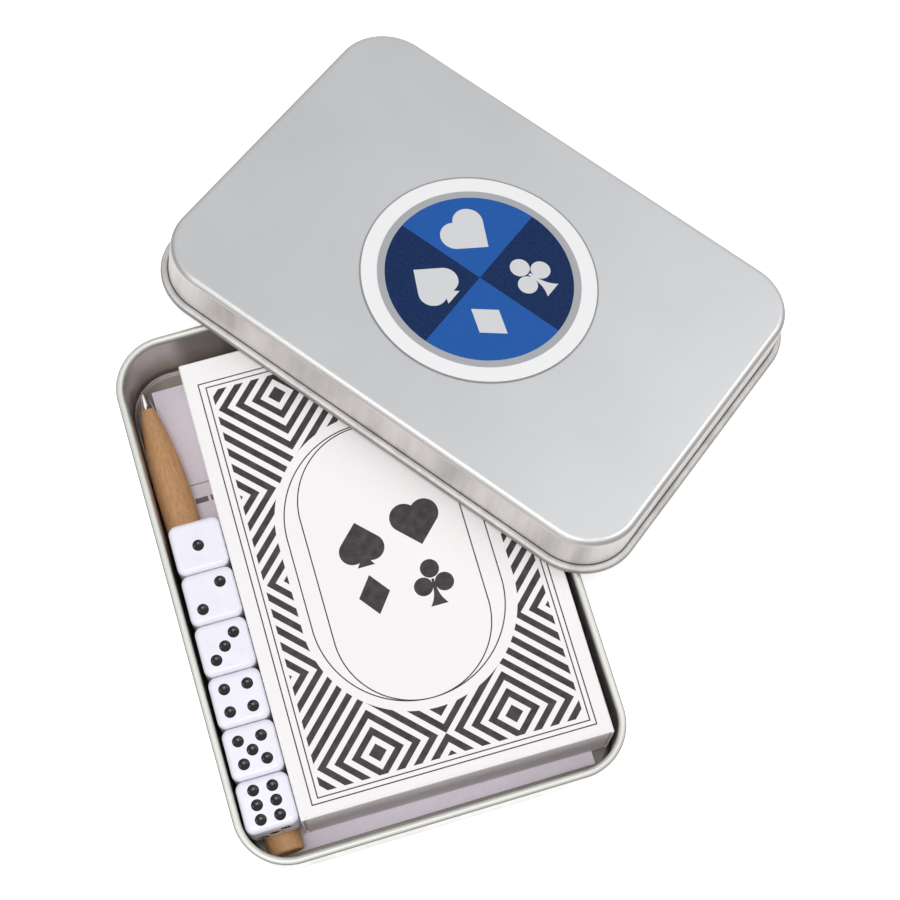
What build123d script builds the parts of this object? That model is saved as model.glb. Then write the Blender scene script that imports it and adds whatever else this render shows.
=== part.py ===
from build123d import *
from math import acos, asin, atan2, cos, degrees, hypot, radians, sin, sqrt
import os

# A flat tin for a pack of playing cards, six dice, a short pen and a rules leaflet, in millimetres.
# The origin is the centre of the tray's underside, X runs along the short side, Y along the long
# side and +Z is up. The lid lies askew across the far end, with one long side on the table.

# Playing cards
card_width = 57.5
card_length = 88.0
card_thickness = 0.275
card_air = 0.01
card_corner = 1.6
cards_per_suit = 13
jokers = 2

# Carton of the cards
board = 0.4
card_side_slack = 0.6
card_end_slack = 1.1
card_top_slack = 0.12
crease_gap = 0.1
fold_radius = 0.35
slit = 0.5
tongue_length = 12.0
tongue_inset = 1.6
dust_flap_length = 18.0
contents_yaw = -0.6

# Dice
die_size = 9.9
die_edge_chamfer = 0.8
die_gap = 0.1
pip_radius = 1.15
pip_depth = 0.45
pip_step = 2.18
pip_step_six = 2.75
pip_column_six = 1.8
row_start = 14.7

# Pen
pen_diameter = 6.8
pen_length = 94.4
pen_taper_length = 19.0
pen_cone_length = 3.4
pen_nose_diameter = 2.9
pen_mouth_diameter = 1.2
pen_bore = 3.4
pen_rear_chamfer = 0.3
pen_yaw = 2.0
plug_length = 6.0
plug_socket = 2.0
shank_diameter = 2.0
shank_length = 5.0
refill_diameter = 2.3
refill_wall = 0.35
refill_setback = 11.4
neck_diameter = 0.8
collar_length = 1.5
stub_length = 3.0
nib_reach = 0.8
nib_length = 1.0
nib_diameter = 0.4
slip_fit = 0.05

# Rules leaflet, folded in four
paper = 0.12
paper_air = 0.04
leaflet_layers = 4
leaflet_side_margin = 3.75
leaflet_far_margin = 2.4
leaflet_near_margin = 1.7
leaflet_rest = 0.05

# Tray and lid
sheet = 0.3
foot_radius = 1.0
wall_corner = 9.2
curl_radius = 0.725
curl_end = 110.0
roll_flats = 8
inner_roll_flats = 3
bend_flats = 2
carton_play = 0.1
dice_play = 0.45
carton_end_gap = 5.6
carton_shift = -0.1
pen_end_gap = 2.7
pen_side_gap = 0.7
head_room = 0.35
line_rest = 0.05
lid_clearance = 0.15
lid_depth = 9.9
lid_edge_radius = 1.2
lid_curl_radius = 0.875
lid_turn = 37.64
lid_over_side = 2.0
lid_over_end = 7.7
lid_rest = 0.1
label_diameter = 47.0
label_thickness = 0.15
label_x = -1.1
label_y = 0.2

# Sizes that follow from the ones above
card_pitch = card_thickness + card_air
deck_height = (4 * cards_per_suit + jokers) * card_pitch
carton_inner_width = card_width + 2 * card_side_slack
carton_width = carton_inner_width + 2 * board
carton_inner_height = board + deck_height + card_top_slack
carton_height = carton_inner_height + 2 * board
carton_length = card_length + card_end_slack + 3 * board + 2 * crease_gap
yaw_room = carton_length / 2 * sin(radians(abs(contents_yaw)))
pen_radius = pen_diameter / 2
leaflet_height = leaflet_layers * paper + (leaflet_layers - 1) * paper_air
floor_top = sheet
contents_floor = floor_top + leaflet_rest + leaflet_height
pen_height = contents_floor + line_rest + pen_radius
dice_floor = contents_floor + pen_diameter + 2 * line_rest
inner_length = max(carton_length + 2 * carton_end_gap, pen_length + nib_reach + 2 * pen_end_gap)
inner_corner = wall_corner - sheet
# The carton's far corner stays clear of the tray's rounded corner by the carton's play
corner_ahead = carton_shift + carton_length / 2 - carton_width / 2 * sin(radians(abs(contents_yaw)))
corner_ahead = max(0.0, corner_ahead - inner_length / 2 + inner_corner)
carton_inset = inner_corner - sqrt((inner_corner - carton_play) ** 2 - corner_ahead**2)
inner_width = carton_width + die_gap + die_size + carton_inset + dice_play + 2 * yaw_room
rim_height = max(dice_floor + die_size, contents_floor + carton_height) + head_room
wall_width = inner_width + 2 * sheet
wall_length = inner_length + 2 * sheet
curl_reach = 2 * curl_radius - sheet
tray_width = wall_width + 2 * curl_reach
tray_length = wall_length + 2 * curl_reach
tray_corner = wall_corner + curl_reach
foot_reach = sheet + foot_radius
carton_x = inner_width / 2 - carton_inset - yaw_room - carton_width / 2
dice_x = carton_x - carton_width / 2 - die_gap - die_size / 2
carton_near = carton_shift - carton_length / 2
carton_far = carton_shift + carton_length / 2


def upright_section(plane, reach):
    """Plane of an upright section through the middle of a long side, with x pointing outwards."""
    middle = plane.from_local_coords(Vector(reach, 0, 0))
    return Plane(origin=middle, x_dir=plane.x_dir, z_dir=-plane.y_dir)


def rounded_path(plane, width, length, radius):
    """Rounded rectangle that starts at the middle of its right side."""
    with BuildLine(plane) as path:
        right = Line((width / 2, 0), (width / 2, length / 2 - radius))
        turn_1 = CenterArc((width / 2 - radius, length / 2 - radius), radius, 0, 90)
        Line(turn_1 @ 1, (radius - width / 2, length / 2))
        turn_2 = CenterArc((radius - width / 2, length / 2 - radius), radius, 90, 90)
        Line(turn_2 @ 1, (-width / 2, radius - length / 2))
        turn_3 = CenterArc((radius - width / 2, radius - length / 2), radius, 180, 90)
        Line(turn_3 @ 1, (width / 2 - radius, -length / 2))
        turn_4 = CenterArc((width / 2 - radius, radius - length / 2), radius, 270, 90)
        Line(turn_4 @ 1, right @ 0)
    return path.wires()[0]


def flats(centre, radius, start, turn, count):
    """Points of a bend in a thin section, drawn as a few flats instead of an arc."""
    angles = [radians(start + turn * step / count) for step in range(count + 1)]
    return [(centre[0] + radius * cos(angle), centre[1] + radius * sin(angle)) for angle in angles]


# Tray: one pressed sheet, swept round as a wall with a rounded foot and a rim that rolls outwards
rim_turn = 180 + curl_end
with BuildPart() as tin_base:
    with BuildSketch(upright_section(Plane.XY, wall_width / 2)):
        with BuildLine():
            foot = (-foot_reach, foot_reach)
            roll = (curl_radius - sheet, rim_height - curl_radius)
            Polyline(
                *flats(foot, foot_radius, -90, 90, bend_flats),
                *flats(roll, curl_radius, 180, -rim_turn, roll_flats),
                *flats(roll, curl_radius - sheet, -curl_end, rim_turn, inner_roll_flats),
                *flats(foot, foot_reach, 0, -90, bend_flats),
                close=True,
            )
        make_face()
    sweep(path=rounded_path(Plane.XY, wall_width, wall_length, wall_corner))
    with BuildSketch():
        RectangleRounded(
            wall_width - 2 * foot_reach, wall_length - 2 * foot_reach, wall_corner - foot_reach
        )
    extrude(amount=sheet)

# The lid slips over the tray's rim. Here it is turned and leans from the rim down to the table:
# its near corner crosses the tray's side rim, and it tips about its length until the far long
# side meets the table or its underside meets the tray's far corner.
skirt_width = tray_width + 2 * (lid_clearance + sheet)
skirt_length = tray_length + 2 * (lid_clearance + sheet)
skirt_corner = tray_corner + lid_clearance + sheet
lid_height = lid_depth + sheet
lid_curl_reach = 2 * lid_curl_radius - sheet
turn_cos = cos(radians(lid_turn))
turn_sin = sin(radians(lid_turn))
lid_x = tray_width / 2 - lid_over_side
lid_y = tray_length / 2 - lid_over_end
roll_corner = skirt_corner + lid_curl_reach - lid_curl_radius
roll_half_width = skirt_width / 2 + lid_curl_reach - lid_curl_radius
roll_half_length = skirt_length / 2 + lid_curl_reach - lid_curl_radius
bend_x = roll_half_width - roll_corner
bend_y = roll_half_length - roll_corner
rim_x = tray_width / 2 - curl_radius - lid_x
corner_x = tray_width / 2 - tray_corner - lid_x
corner_y = tray_length / 2 - tray_corner - lid_y
corner_reach = corner_x * turn_cos + corner_y * turn_sin + tray_corner - curl_radius
lean = 0.2
for step in range(6):
    lean_cos = cos(asin(lean))
    # Along the lid's rounded near corner, the point that stands over the tray's side rim
    swing_x = roll_corner * lean_cos * turn_cos
    swing_y = -roll_corner * turn_sin
    ahead = rim_x + bend_x * lean_cos * turn_cos - bend_y * turn_sin - lid_curl_radius * lean * turn_cos
    share = max(-1.0, min(1.0, ahead / hypot(swing_x, swing_y)))
    bearing = atan2(swing_y, swing_x) - acos(share)
    rim_reach = bend_x - roll_corner * cos(bearing)
    to_table = (rim_height + lid_rest) / (roll_half_width + rim_reach)
    under_lid = lid_depth - curl_radius - lid_rest + lean_cos * (lid_rest + curl_radius)
    to_corner = under_lid / (corner_reach + lean_cos * rim_reach)
    lean = min(to_table, to_corner)
lean_cos = cos(asin(lean))
lid_z = rim_height + lid_rest + lid_curl_radius * (1 - lean_cos) - rim_reach * lean
lid_plane = Plane(
    origin=(lid_x, lid_y, lid_z),
    x_dir=(lean_cos * turn_cos, lean_cos * turn_sin, -lean),
    z_dir=(lean * turn_cos, lean * turn_sin, lean_cos),
)

with BuildPart() as tin_lid:
    with BuildSketch(upright_section(lid_plane, skirt_width / 2)):
        with BuildLine():
            edge = (-lid_edge_radius, lid_height - lid_edge_radius)
            lid_roll = (lid_curl_radius - sheet, lid_curl_radius)
            Polyline(
                *flats(edge, lid_edge_radius, 90, -90, bend_flats),
                *flats(lid_roll, lid_curl_radius - sheet, 180, rim_turn, inner_roll_flats),
                *flats(lid_roll, lid_curl_radius, curl_end, -rim_turn, roll_flats),
                *flats(edge, lid_edge_radius - sheet, 0, 90, bend_flats),
                close=True,
            )
        make_face()
    sweep(path=rounded_path(lid_plane, skirt_width, skirt_length, skirt_corner))
    with BuildSketch(lid_plane.offset(lid_depth)):
        RectangleRounded(
            skirt_width - 2 * lid_edge_radius,
            skirt_length - 2 * lid_edge_radius,
            skirt_corner - lid_edge_radius,
        )
    extrude(amount=sheet)

with BuildPart() as lid_label:
    with BuildSketch(lid_plane.offset(lid_height)):
        with Locations((label_x, label_y)):
            Circle(label_diameter / 2)
    extrude(amount=label_thickness)

# Leaflet: one sheet folded to and fro in four layers, flat on the tray's floor
leaflet_left = foot_radius + leaflet_side_margin - inner_width / 2
leaflet_right = inner_width / 2 - foot_radius - leaflet_side_margin
leaflet_bottom = floor_top + leaflet_rest
leaflet_near = foot_radius + leaflet_near_margin - inner_length / 2
leaflet_far = inner_length / 2 - foot_radius - leaflet_far_margin
with BuildPart() as leaflet:
    with BuildSketch(Plane(origin=(0, leaflet_near, 0), x_dir=(1, 0, 0), z_dir=(0, -1, 0))):
        for layer in range(leaflet_layers):
            layer_z = leaflet_bottom + layer * (paper + paper_air)
            with Locations((leaflet_left, layer_z)):
                Rectangle(leaflet_right - leaflet_left, paper, align=(Align.MIN, Align.MIN))
        for fold in range(leaflet_layers - 1):
            fold_x = leaflet_left if fold % 2 else leaflet_right - paper
            with Locations((fold_x, leaflet_bottom + fold * (paper + paper_air))):
                Rectangle(paper, 2 * paper + paper_air, align=(Align.MIN, Align.MIN))
    extrude(amount=leaflet_near - leaflet_far)

# Carton: a folded board sleeve with a closed far end, two dust flaps and an open near end
contents = Plane.XY.rotated((0, 0, contents_yaw))
carton_base = contents.offset(contents_floor)
flap_width = carton_inner_width - 2 * slit
with BuildPart() as carton_body:
    with BuildSketch(carton_base):
        with Locations((carton_x, carton_shift)):
            Rectangle(carton_width, carton_length)
    extrude(amount=carton_height)
    along = carton_body.edges().filter_by(Axis(contents.origin, contents.y_dir))
    far_fold = carton_body.faces().sort_by(Axis(contents.origin, contents.y_dir))[-1].edges()
    across = far_fold.filter_by(Axis(contents.origin, contents.x_dir))
    upright = far_fold.filter_by(Axis.Z)
    fillet(along + across + upright, fold_radius)
    with BuildSketch(carton_base.offset(board)):
        with Locations((carton_x, carton_near)):
            Rectangle(carton_inner_width, carton_length - board, align=(Align.CENTER, Align.MIN))
    extrude(amount=carton_inner_height, mode=Mode.SUBTRACT)
    with BuildSketch(carton_base.offset(board)):
        with Locations((carton_x, carton_near)):
            Rectangle(flap_width, board, align=(Align.CENTER, Align.MIN))
    extrude(amount=carton_height, mode=Mode.SUBTRACT)
    with BuildSketch(carton_base.offset(2 * board + crease_gap)):
        for side in (-1, 1):
            flap_x = carton_x + side * (carton_inner_width - dust_flap_length) / 2
            with Locations((flap_x, carton_near + board + crease_gap)):
                Rectangle(dust_flap_length, board, align=(Align.CENTER, Align.MIN))
    extrude(amount=carton_inner_height - board - 2 * crease_gap)

# Closure panel, folded down from the front of the carton, with its tongue tucked in at the back
with BuildPart() as carton_flap:
    with BuildSketch(carton_base.offset(board)):
        with Locations((carton_x, carton_near)):
            Rectangle(flap_width, board, align=(Align.CENTER, Align.MIN))
    extrude(amount=carton_height - board)
    top_edges = carton_flap.edges().group_by(Axis.Z)[-1]
    crease = top_edges.sort_by(Axis(contents.origin, contents.y_dir))[0]
    fillet(crease, fold_radius)
    with BuildSketch(carton_base.offset(board)):
        with Locations((carton_x, carton_near)):
            Rectangle(
                flap_width - 2 * tongue_inset, tongue_length, align=(Align.CENTER, Align.MIN)
            )
    extrude(amount=board)
    tongue_tip = carton_flap.faces().sort_by(Axis(contents.origin, contents.y_dir))[-1]
    chamfer(tongue_tip.edges().filter_by(Axis.Z), tongue_inset)


def card_group(first, count):
    """A run of the pack, one thin solid for each card."""
    deck_floor = carton_base.offset(2 * board)
    middle = carton_far - board - card_end_slack / 2 - card_length / 2
    with BuildPart() as cards:
        for number in range(first, first + count):
            with BuildSketch(deck_floor.offset(number * card_pitch)):
                with Locations((carton_x, middle)):
                    card = Rectangle(card_width, card_length)
                chamfer(card.vertices(), card_corner)
            extrude(amount=card_thickness)
    return cards.part


suits = {}
for order, suit in enumerate(("spades", "hearts", "clubs", "diamonds")):
    suits["cards_" + suit] = card_group(order * cards_per_suit, cards_per_suit)
suits["cards_jokers"] = card_group(4 * cards_per_suit, jokers)

# Pip places on the faces of a die
corner_pair = [(pip_step, pip_step), (-pip_step, -pip_step)]
other_pair = [(-pip_step, pip_step), (pip_step, -pip_step)]
six_columns = []
for column in (-pip_column_six, pip_column_six):
    for row in (-pip_step_six, 0, pip_step_six):
        six_columns.append((column, row))
pip_spots = {
    1: [(0, 0)],
    2: corner_pair,
    3: corner_pair + [(0, 0)],
    4: corner_pair + other_pair,
    5: corner_pair + other_pair + [(0, 0)],
    6: six_columns,
}
# The near and right faces that go with each top face, with opposite faces adding up to seven
die_turns = {1: (2, 3), 2: (3, 1), 3: (1, 2), 4: (2, 1), 5: (1, 3), 6: (3, 2)}


def make_die(place, top):
    """A die that stands on the origin of the given plane, with the number asked for on top."""
    near, right = die_turns[top]
    half = die_size / 2
    middle = place.offset(half).origin
    ways = [
        (top, place.z_dir, place.x_dir),
        (7 - top, -place.z_dir, place.x_dir),
        (near, -place.y_dir, place.x_dir),
        (7 - near, place.y_dir, place.x_dir),
        (right, place.x_dir, place.y_dir),
        (7 - right, -place.x_dir, place.y_dir),
    ]
    with BuildPart() as die:
        with BuildSketch(place):
            Rectangle(die_size, die_size)
        extrude(amount=die_size)
        chamfer(die.edges(), die_edge_chamfer)
        for number, outwards, sideways in ways:
            with BuildSketch(Plane(origin=middle + outwards * half, x_dir=sideways, z_dir=outwards)):
                with Locations(*pip_spots[number]):
                    RegularPolygon(pip_radius, 6)
            extrude(amount=-pip_depth, mode=Mode.SUBTRACT)
    return die.part


dice = {}
for top in range(1, 7):
    die_y = row_start - (top - 0.5) * (die_size + die_gap)
    die_place = Plane(
        origin=contents.from_local_coords(Vector(dice_x, die_y, dice_floor)),
        x_dir=contents.x_dir,
        z_dir=(0, 0, 1),
    )
    dice["die_" + str(top)] = make_die(die_place, top)

# Pen: its sections are drawn with x along the pen, from the rear end, and turned about that line
pen_rear_x = dice_x + die_size / 2 + die_gap - yaw_room - pen_side_gap - pen_radius
pen_rear_y = pen_end_gap - inner_length / 2
pen_direction = Vector(-sin(radians(pen_yaw)), cos(radians(pen_yaw)), 0)
pen_plane = Plane(origin=(pen_rear_x, pen_rear_y, pen_height), x_dir=pen_direction, z_dir=(0, 0, 1))
pen_axis = Axis(pen_plane.origin, pen_plane.x_dir)
barrel_length = pen_length - pen_cone_length
taper_start = barrel_length - pen_taper_length
nose_radius = pen_nose_diameter / 2
bore_radius = pen_bore / 2
shank_radius = shank_diameter / 2
shank_start = barrel_length - shank_length
refill_end = pen_length - refill_setback
refill_start = plug_length - plug_socket + slip_fit
refill_radius = refill_diameter / 2
neck_radius = neck_diameter / 2

with BuildPart() as pen_barrel:
    with BuildSketch(pen_plane):
        with BuildLine():
            straight = Line((pen_rear_chamfer, pen_radius), (taper_start, pen_radius))
            taper = TangentArc(straight @ 1, (barrel_length, nose_radius), tangent=straight % 1)
            Polyline(
                taper @ 1,
                (barrel_length, shank_radius + slip_fit),
                (shank_start, shank_radius + slip_fit),
                (shank_start, bore_radius),
                (0, bore_radius),
                (0, pen_radius - pen_rear_chamfer),
                straight @ 0,
            )
        make_face()
    revolve(axis=pen_axis)

with BuildPart() as pen_cone:
    with BuildSketch(pen_plane):
        with BuildLine():
            Polyline(
                (shank_start + slip_fit, neck_radius + slip_fit),
                (shank_start + slip_fit, shank_radius),
                (barrel_length, shank_radius),
                (barrel_length, nose_radius),
                (pen_length, pen_mouth_diameter / 2),
                (pen_length, neck_radius + slip_fit),
                close=True,
            )
        make_face()
    revolve(axis=pen_axis)

with BuildPart() as pen_plug:
    with BuildSketch(pen_plane):
        with BuildLine():
            Polyline(
                (0, 0),
                (0, bore_radius - slip_fit),
                (plug_length, bore_radius - slip_fit),
                (plug_length, refill_radius + slip_fit),
                (plug_length - plug_socket, refill_radius + slip_fit),
                (plug_length - plug_socket, 0),
                close=True,
            )
        make_face()
    revolve(axis=pen_axis)

with BuildPart() as pen_refill:
    with BuildSketch(pen_plane):
        with Locations((refill_start, refill_radius - refill_wall)):
            Rectangle(refill_end - refill_start, refill_wall, align=(Align.MIN, Align.MIN))
    revolve(axis=pen_axis)

with BuildPart() as pen_point:
    with BuildSketch(pen_plane):
        with BuildLine():
            Polyline(
                (refill_end - stub_length, 0),
                (refill_end - stub_length, refill_radius - refill_wall - slip_fit),
                (refill_end, refill_radius - refill_wall - slip_fit),
                (refill_end, refill_radius),
                (refill_end + collar_length, refill_radius),
                (refill_end + collar_length, neck_radius),
                (pen_length + nib_reach - nib_length, neck_radius),
                (pen_length + nib_reach, nib_diameter / 2),
                (pen_length + nib_reach, 0),
                close=True,
            )
        make_face()
    revolve(axis=pen_axis)

pieces = {
    "tin_base": tin_base.part,
    "tin_lid": tin_lid.part,
    "lid_label": lid_label.part,
    "leaflet": leaflet.part,
    "carton_body": carton_body.part,
    "carton_flap": carton_flap.part,
    "pen_barrel": pen_barrel.part,
    "pen_cone": pen_cone.part,
    "pen_plug": pen_plug.part,
    "pen_refill": pen_refill.part,
    "pen_point": pen_point.part,
}
pieces.update(suits)
pieces.update(dice)

os.makedirs("parts", exist_ok=True)
for name, piece in pieces.items():
    piece.label = name
    export_step(piece, "parts/" + name + ".step")
print("lean", round(degrees(asin(lean)), 2), "lid height", round(lid_z, 2), "rim", round(rim_height, 2))
print("tray", round(tray_width, 2), round(tray_length, 2), "carton", round(carton_width, 2))
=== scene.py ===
from math import atan2, cos, hypot, radians, sin, sqrt

import bmesh
import bpy
from bpy.props import FloatProperty, FloatVectorProperty, IntProperty, PointerProperty
from mathutils import Matrix, Vector


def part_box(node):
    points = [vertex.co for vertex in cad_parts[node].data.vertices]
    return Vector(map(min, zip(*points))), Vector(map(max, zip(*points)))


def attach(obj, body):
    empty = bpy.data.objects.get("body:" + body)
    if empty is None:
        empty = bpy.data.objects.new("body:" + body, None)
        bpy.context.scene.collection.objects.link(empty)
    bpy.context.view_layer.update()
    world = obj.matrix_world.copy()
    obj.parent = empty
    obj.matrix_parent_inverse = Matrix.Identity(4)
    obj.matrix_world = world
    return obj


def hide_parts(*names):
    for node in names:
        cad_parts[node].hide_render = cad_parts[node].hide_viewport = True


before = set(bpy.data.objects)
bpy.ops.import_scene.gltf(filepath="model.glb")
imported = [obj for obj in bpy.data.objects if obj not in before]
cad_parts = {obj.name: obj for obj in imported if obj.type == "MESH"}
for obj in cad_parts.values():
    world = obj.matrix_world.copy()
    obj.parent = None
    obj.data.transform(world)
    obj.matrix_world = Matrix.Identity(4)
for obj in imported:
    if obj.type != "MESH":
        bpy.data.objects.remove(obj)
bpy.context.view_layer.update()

# Looks of a flat tin with playing cards, six dice, a short pen and a rules leaflet, around the packed
# frame. Meshes are in metres: a tin is one sheet carried round a rounded rectangle, and a die is a
# rounded cube with dished spots. Materials work out prints in millimetres from the piece's middle.

bl_info = {
    "name": "Playing card and dice box",
    "version": (1, 0, 0),
    "blender": (4, 5, 0),
    "location": "3D View > Sidebar > Card box",
    "description": "Builds the looks of a flat tin with cards, dice, a pen and a leaflet",
    "category": "Object",
}

MM = 0.001
WHITE = (1.0, 1.0, 1.0, 1.0)
DICE = ["die_" + str(number) for number in range(1, 7)]
CARDS = ["cards_spades", "cards_hearts", "cards_clubs", "cards_diamonds", "cards_jokers"]

# Roughness of the tinplate
TRAY_DULL, TRAY_DULL_OUTSIDE, TRAY_DULL_RIM = 0.30, 0.42, 0.56  # the floor is as dull as the outside
LID_DULL, LID_DULL_SIDE, LID_DULL_RIM = 0.42, 0.46, 0.60

# Lines and bands of the tinplate; its dark lines and the dark band on the lid's bend are painted shade
FLOOR_HEIGHT = 1.5  # sheets, up to which the tray counts as its floor
DARK_LINE = 0.2  # share of the rim's colour that its painted shade lines keep
LIP_PAINTED_SHADE, GROOVE_PAINTED_SHADE = 0.55, 0.75  # strength of the painted shade line outside a rim, and of the one in the crease over the lid's rim
GROOVE = (0.05, 0.17)  # place outside the skirt and half width of the lid's groove, a painted shade line, in millimetres
SIDE_END = 0.6  # share of the bend between the lid's skirt and top where the top's colour is reached
BAND_START, BAND_END = (0.35, 0.55), (0.78, 0.90)  # painted shade: a dark band on the bend, with soft ends, that keeps the highlight along the lid's edge thin
BAND_SHADE = 0.46

# The carton's print in millimetres: centres, half sizes and corner radii
STRIPE_BENDS = ((13.0, 26.0), (-37.0, 35.75))  # where the stripes turn, and how far apart, in x and y
STRIPE_SHARE = 0.53
PRINT_DEPTH = 0.05  # the print stops this far below the top
STRIPED_FIELD = ((0.15, -1.25), (25.0, 39.9))
FRAME_LINES = (((0, -1.25), (27.0, 41.75)), ((0.15, -1.25), (25.85, 40.75)))
OVAL = ((0, -2.8), (20.3, 29.2), 20.3)
OVAL_LINES = (((-0.25, -2.8), (18.25, 27.2), 18.25), ((-0.35, -3.0), (14.85, 27.0), 14.85))
CARTON_SUITS = ((0, -3.0), (5.6, 5.4))  # centre, and steps to the symbols
LABEL_SUITS = ((0, 0), (7.0, 7.0))

# The leaflet's print: a rule and two rows of bars, as places in y and half widths in millimetres
LEAFLET_RULE = (26.7, 0.12)
LEAFLET_ROWS = ((23.3, 0.55), (18.4, 0.55))

CARD_PAPER = ((0.80, 0.80, 0.79), (0.90, 0.90, 0.88))  # darkest and brightest

# Upward face: faces towards the viewer and to the right; opposite faces add up to seven
DICE_SIDES = {1: (2, 3), 2: (3, 1), 3: (1, 2), 4: (2, 1), 5: (1, 3), 6: (3, 2)}

# The stage: floor, then the lamps round the object: setting with the power, place and size in metres
FLOOR_COLOUR, FLOOR_HALF = (0.9, 0.9, 0.9, 1.0), 3.0
LAMPS = (
    ("top", (-0.12, -0.17, 1.18), 0.5),
    ("side", (0.74, 0.15, 0.73), 0.5),
    ("near", (-0.50, -0.66, 0.62), 0.6),
    ("left", (-0.68, -0.13, 0.79), 0.5),
)

# The photograph's camera, fitted to the tins' outlines
CAMERA_TURN = (-19.189, 73.082, 2.530)  # azimuth, elevation and roll in degrees
CAMERA_TARGET = (22.582, 19.532, 0.0)  # millimetres
CAMERA_DISTANCE = 448.999  # millimetres
FOCAL_LENGTH, PHOTO_WIDTH = 2266.9, 900  # pixels
SENSOR = 36.0  # millimetres


def length(name, description, millimetres):
    return FloatProperty(
        name=name, description=description, default=millimetres * MM, unit="LENGTH", min=0.0
    )


def angle(name, description, degrees):
    return FloatProperty(name=name, description=description, default=radians(degrees), subtype="ANGLE")


def power(name, description, watts):
    return FloatProperty(name=name, description=description, default=watts, unit="POWER")


def amount(name, description, value):
    return FloatProperty(name=name, description=description, default=value, min=0.0, max=1.0)


def step_count(name, description, value):
    return IntProperty(name=name, description=description, default=value, min=4)


def colour(name, description, value):
    return FloatVectorProperty(
        name=name, description=description, default=value, subtype="COLOR", size=3, min=0.0, max=1.0
    )


class TinSettings(bpy.types.PropertyGroup):
    sheet: length("Sheet", "Thickness of the tinplate", 0.3)
    tray_corner: length("Tray corner", "Radius of the tray wall's corners", 9.2)
    tray_foot: length("Tray foot", "Inner radius between the tray's floor and wall", 1.0)
    tray_curl: length("Tray curl", "Radius of the tray's rolled rim", 0.725)
    lid_corner: length("Lid corner", "Radius of the lid skirt's corners", 10.8)
    lid_edge: length("Lid edge", "Radius between the lid's top and skirt", 1.38)
    lid_curl: length("Lid curl", "Radius of the lid's rolled rim", 0.875)
    inset: length("Inset", "How far the lid's round rim stays inside the faceted part", 0.025)
    # Painted shade: the dark line along the outside of a rolled rim stands in for the shade at the curl's
    # outer edge
    lip: length("Lip", "Width of the dull line along the outside of a rolled rim", 0.2)
    tray_roll: angle("Tray roll", "How far the tray's rim rolls", 302)
    lid_roll: angle("Lid roll", "How far the lid's rim rolls", 306)
    corner_steps: step_count("Corner steps", "Faces round one corner", 28)
    curl_steps: step_count("Curl steps", "Faces round a rolled rim", 28)
    foot_steps: step_count("Foot steps", "Faces round the tray's foot", 10)
    edge_steps: step_count("Edge steps", "Faces round the lid's edge", 12)
    tray_streak: amount("Tray streaks", "Depth of the streaks on the tray's walls", 0.10)
    lid_streak: amount("Lid streaks", "Depth of the streaks on the lid's skirt", 0.17)
    lid_metal: amount("Metal share", "How metallic the worn skirt of the lid is", 0.6)
    # Painted light and shade: the tray is one tinplate; the outer walls' bright colour stands in for the
    # strong light on them, the inner walls get a darker colour for the shade and dark reflections inside
    # the tray, and the rim a darker one that tones down the highlights on the curl
    tray_inside: colour("Tray inside", "Inner walls of the tray", (0.62, 0.575, 0.555))
    # Painted shade: the tray's floor gets a near black colour that stands in for the shade and dark
    # reflections at its bottom; the tinplate there is no lacquer
    tray_floor: colour("Tray floor", "Lacquered floor of the tray", (0.15, 0.135, 0.12))
    tray_outside: colour("Tray outside", "Outer walls of the tray", (0.86, 0.85, 0.83))
    tray_rim: colour("Tray rim", "Rolled rim of the tray", (0.51, 0.51, 0.485))
    # Painted light and shade: top, skirt and rim of the lid are one tinplate; the skirt's brighter colour
    # stands in for the stronger light on it, and the rim's darker one tones down the highlights on the curl
    lid_top: colour("Lid top", "Tinplate of the lid's top", (0.485, 0.49, 0.50))
    lid_side: colour("Lid side", "Skirt of the lid", (0.76, 0.73, 0.71))
    lid_rim: colour("Lid rim", "Rolled rim of the lid", (0.56, 0.545, 0.53))


class LabelSettings(bpy.types.PropertyGroup):
    # Painted shadow: a grey line round the label stands in for the shadow at its raised edge
    outline: length("Outline", "Grey line round the label", 0.3)
    border: length("Border", "White border of the label", 3.4)
    ring: length("Ring", "Grey ring inside the border", 1.5)
    symbol: length("Symbol", "Half height of a suit symbol", 4.3)
    paper: colour("Paper", "Border of the label", (0.88, 0.88, 0.89))
    grey: colour("Grey", "Ring of the label", (0.40, 0.41, 0.43))
    blue: colour("Blue", "Two quarters of the label", (0.012, 0.095, 0.38))
    navy: colour("Navy", "The other two quarters", (0.001, 0.018, 0.085))
    symbols: colour("Symbols", "Suit symbols of the label", (0.66, 0.67, 0.69))


class CartonSettings(bpy.types.PropertyGroup):
    turn: angle("Turn", "Turn of the carton in the tray", -0.6)
    stripe: length("Stripe", "Step of the stripes along the carton", 3.25)
    line: length("Line", "Width of the thin lines", 0.24)
    symbol: length("Symbol", "Half height of a suit symbol", 3.9)
    edge: length("Edge", "Rounding of the worn edges", 0.6)
    board: colour("Board", "White coated board", (0.89, 0.865, 0.87))
    ink: colour("Ink", "Print of the carton", (0.017, 0.011, 0.012))


class LeafletSettings(bpy.types.PropertyGroup):
    paper: colour("Paper", "Lilac paper", (0.83, 0.78, 0.87))
    ink: colour("Ink", "Lines of the leaflet", (0.05, 0.045, 0.06))


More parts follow.
